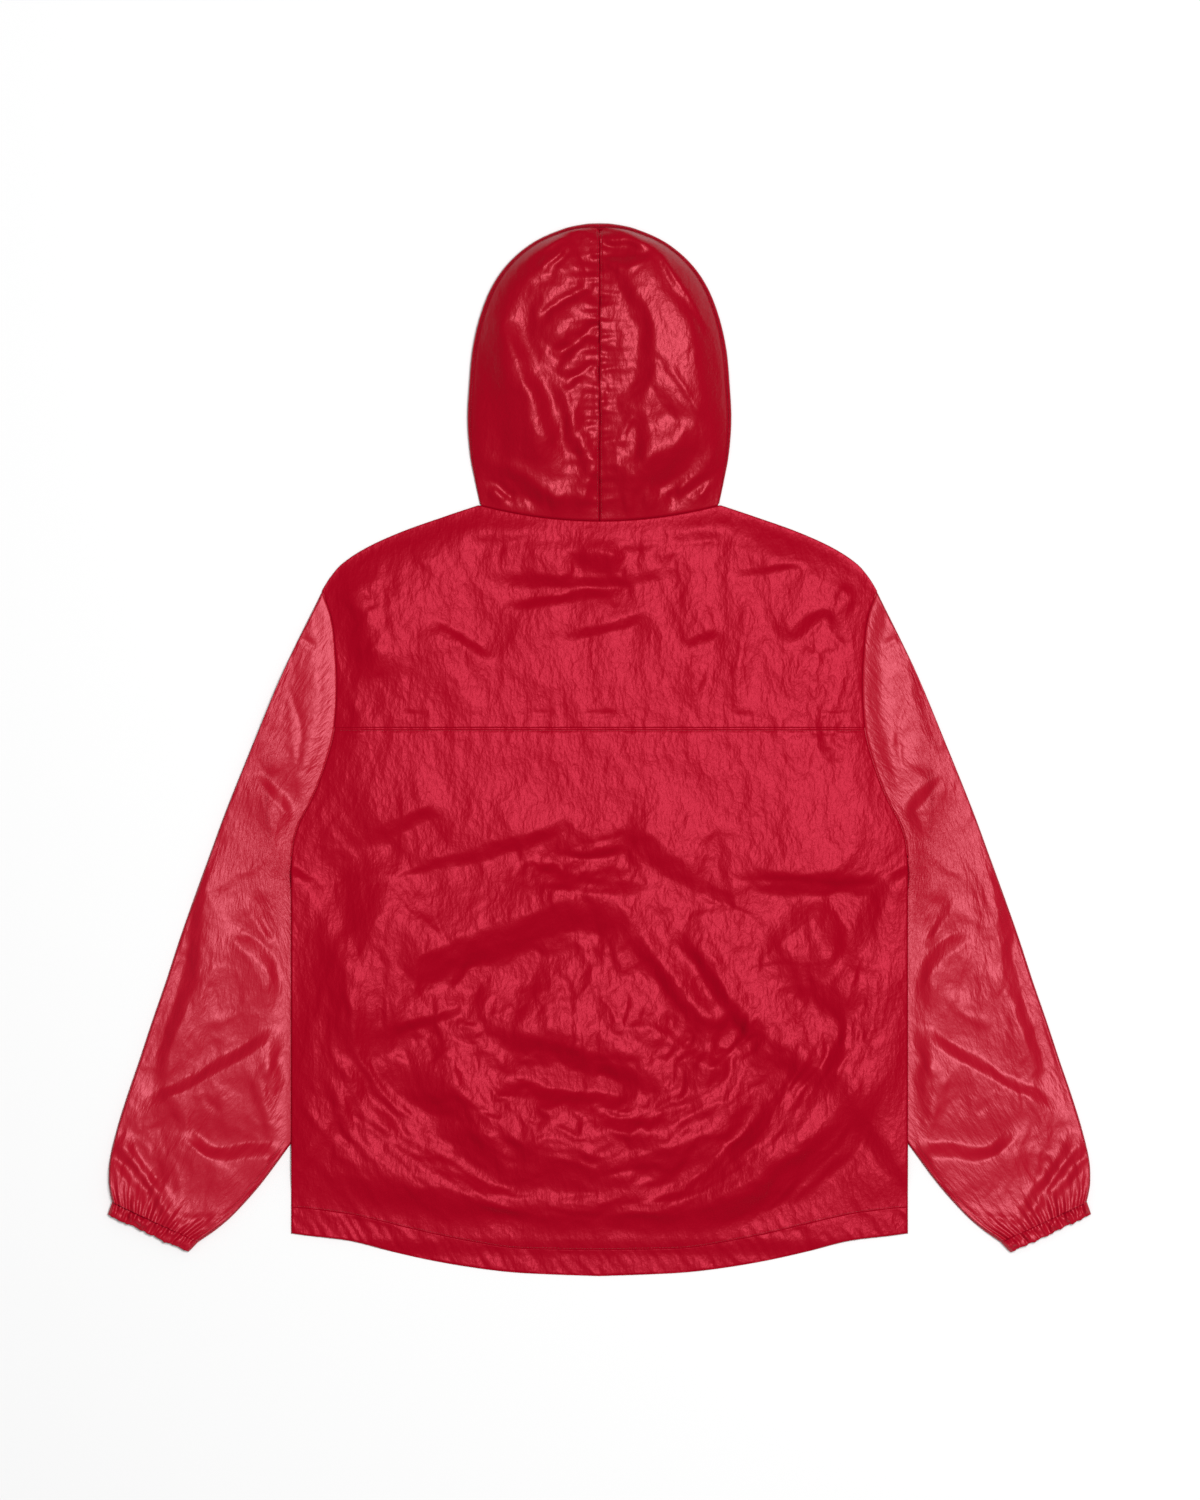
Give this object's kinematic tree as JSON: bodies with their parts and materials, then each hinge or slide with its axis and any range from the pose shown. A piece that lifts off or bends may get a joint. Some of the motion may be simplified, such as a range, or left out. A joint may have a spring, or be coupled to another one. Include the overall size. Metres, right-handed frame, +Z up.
{
  "type": "parka",
  "caption": "Light hooded parka with a gathered elastic cuff on each full sleeve, a yoke and a dropped back hem, zipped shut and laid flat on its front.",
  "frame": {"origin": "on the surface the garment lies on, under the middle of its bounding box", "axes": "+Y from the hem to the hood, +Z up out of the back, +X towards the wearer's right"},
  "size_m": [0.9842, 1.053, 0.0335],
  "materials": {
    "shell_nylon": "glossy, finely crinkled woven nylon",
    "zip_tape": "matt woven tape with moulded teeth"
  },
  "bodies": {
    "root": {"back_yoke": "shell_nylon", "back_lower": "shell_nylon", "hem_back": "shell_nylon", "sleeve_left": "shell_nylon", "sleeve_right": "shell_nylon", "cuff_left": "shell_nylon", "cuff_right": "shell_nylon", "hood_left": "shell_nylon", "hood_right": "shell_nylon", "front_left": "shell_nylon", "front_right": "shell_nylon", "hem_front_left": "shell_nylon", "hem_front_right": "shell_nylon", "front_zip": "zip_tape"}
  },
  "joints": []
}
